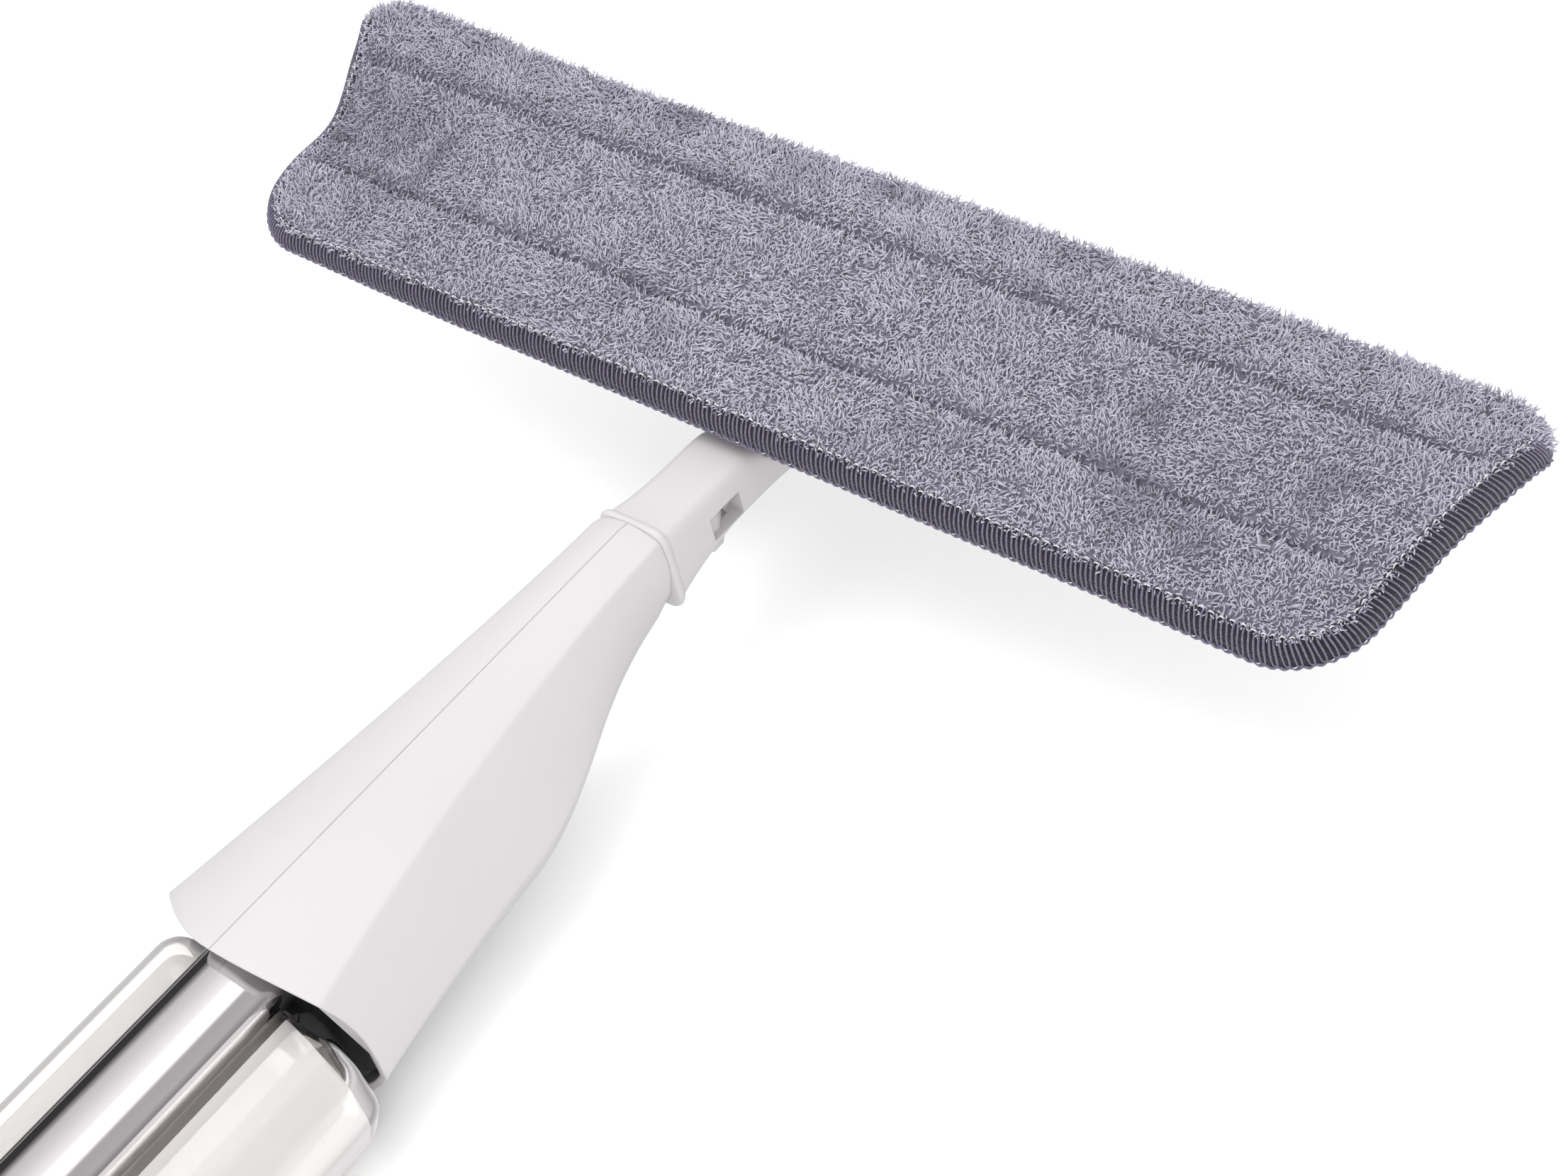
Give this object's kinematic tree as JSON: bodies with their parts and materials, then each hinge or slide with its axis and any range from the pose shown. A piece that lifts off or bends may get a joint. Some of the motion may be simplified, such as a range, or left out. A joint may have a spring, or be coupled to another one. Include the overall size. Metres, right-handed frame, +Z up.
{
  "type": "spray mop",
  "caption": "Flat microfibre floor mop with a two-axis head, a clear refill bottle wrapped round a chromed pole, and a trigger-worked spray pump in a white housing.",
  "frame": {"origin": "on the floor, under the middle of the mop's length and width, as it lies on its bottle with the pad upwards", "axes": "+Y along the pole towards the pad, +X along the pad's long side, +Z up"},
  "size_m": [0.4033, 1.25, 0.0942],
  "materials": {
    "white": "satin moulded shells",
    "grey_plastic": "fine matt moulding",
    "dark_rubber": "matt black elastomer",
    "chrome": "polished, bright",
    "steel": "turned",
    "clear": "clear blow-moulded plastic, glossy",
    "microfibre": "curly microfibre pile, overlocked border",
    "hook_tape": "hook tape",
    "hose": "soft translucent tube"
  },
  "bodies": {
    "pole": {"pitch_pin": "steel", "neck": "white", "collar_ring": "white", "nozzle_body": "white", "nozzle_tip": "grey_plastic", "feed_hose": "hose", "supply_hose": "hose", "pump_cylinder": "grey_plastic", "pump_spring": "steel", "housing_left": "white", "housing_right": "white", "housing_screw_1": "steel", "housing_screw_2": "steel", "housing_screw_3": "steel", "valve_socket": "grey_plastic", "bottle_seal": "dark_rubber", "lower_tube": "chrome", "upper_tube": "chrome", "tube_coupler": "white", "rod_bush_1": "grey_plastic", "rod_bush_2": "grey_plastic", "rod_bush_3": "grey_plastic", "grip_left": "white", "grip_right": "white", "grip_screw": "steel", "trigger_pin": "steel", "trigger_spring": "steel", "heel": "grey_plastic"},
    "swivel": {"swivel_block": "grey_plastic"},
    "head": {"base_plate": "white", "roll_pin": "steel", "hook_strip_near": "hook_tape", "hook_strip_far": "hook_tape", "mop_pad": "microfibre"},
    "bottle": {"bottle": "clear"},
    "cap": {"bottle_cap": "dark_rubber"},
    "trigger": {"trigger": "grey_plastic"},
    "rod": {"pull_rod": "steel"},
    "piston": {"pump_piston": "dark_rubber"}
  },
  "joints": [
    {"name": "head_pitch", "type": "hinge", "parent": "pole", "child": "swivel", "pos_m": [0, 0.58017, 0.04565], "axis": [1, 0, 0], "range_deg": [-170, 1]},
    {"name": "head_roll", "type": "hinge", "parent": "swivel", "child": "head", "pos_m": [0, 0.5784, 0.05549], "axis": [0, 0.9842, 0.1771], "range_deg": [-30, 30]},
    {"name": "bottle_slide", "type": "slide", "parent": "pole", "child": "bottle", "axis": [0, -1, 0], "range_m": [0, 0.03]},
    {"name": "cap_turn", "type": "hinge", "parent": "bottle", "child": "cap", "pos_m": [0, 0.35027, 0.022], "axis": [0, 1, 0], "range_deg": [0, 90]},
    {"name": "trigger_pull", "type": "hinge", "parent": "pole", "child": "trigger", "pos_m": [0, -0.479, 0.0355], "axis": [-1, 0, 0], "range_deg": [0, 14], "stiffness_Nm_per_rad": 0.8, "springref_deg": -11.46},
    {"name": "rod_travel", "type": "slide", "parent": "pole", "child": "rod", "axis": [0, 1, 0], "range_m": [0, 0.0045]},
    {"name": "piston_travel", "type": "slide", "parent": "pole", "child": "piston", "axis": [0, 1, 0], "range_m": [0, 0.0045], "deforming": ["pump_spring"]}
  ],
  "couplings": [
    {"joint": "rod_travel", "follows": "trigger_pull", "m_per_rad": 0.0152},
    {"joint": "piston_travel", "follows": "trigger_pull", "m_per_rad": 0.0152}
  ]
}
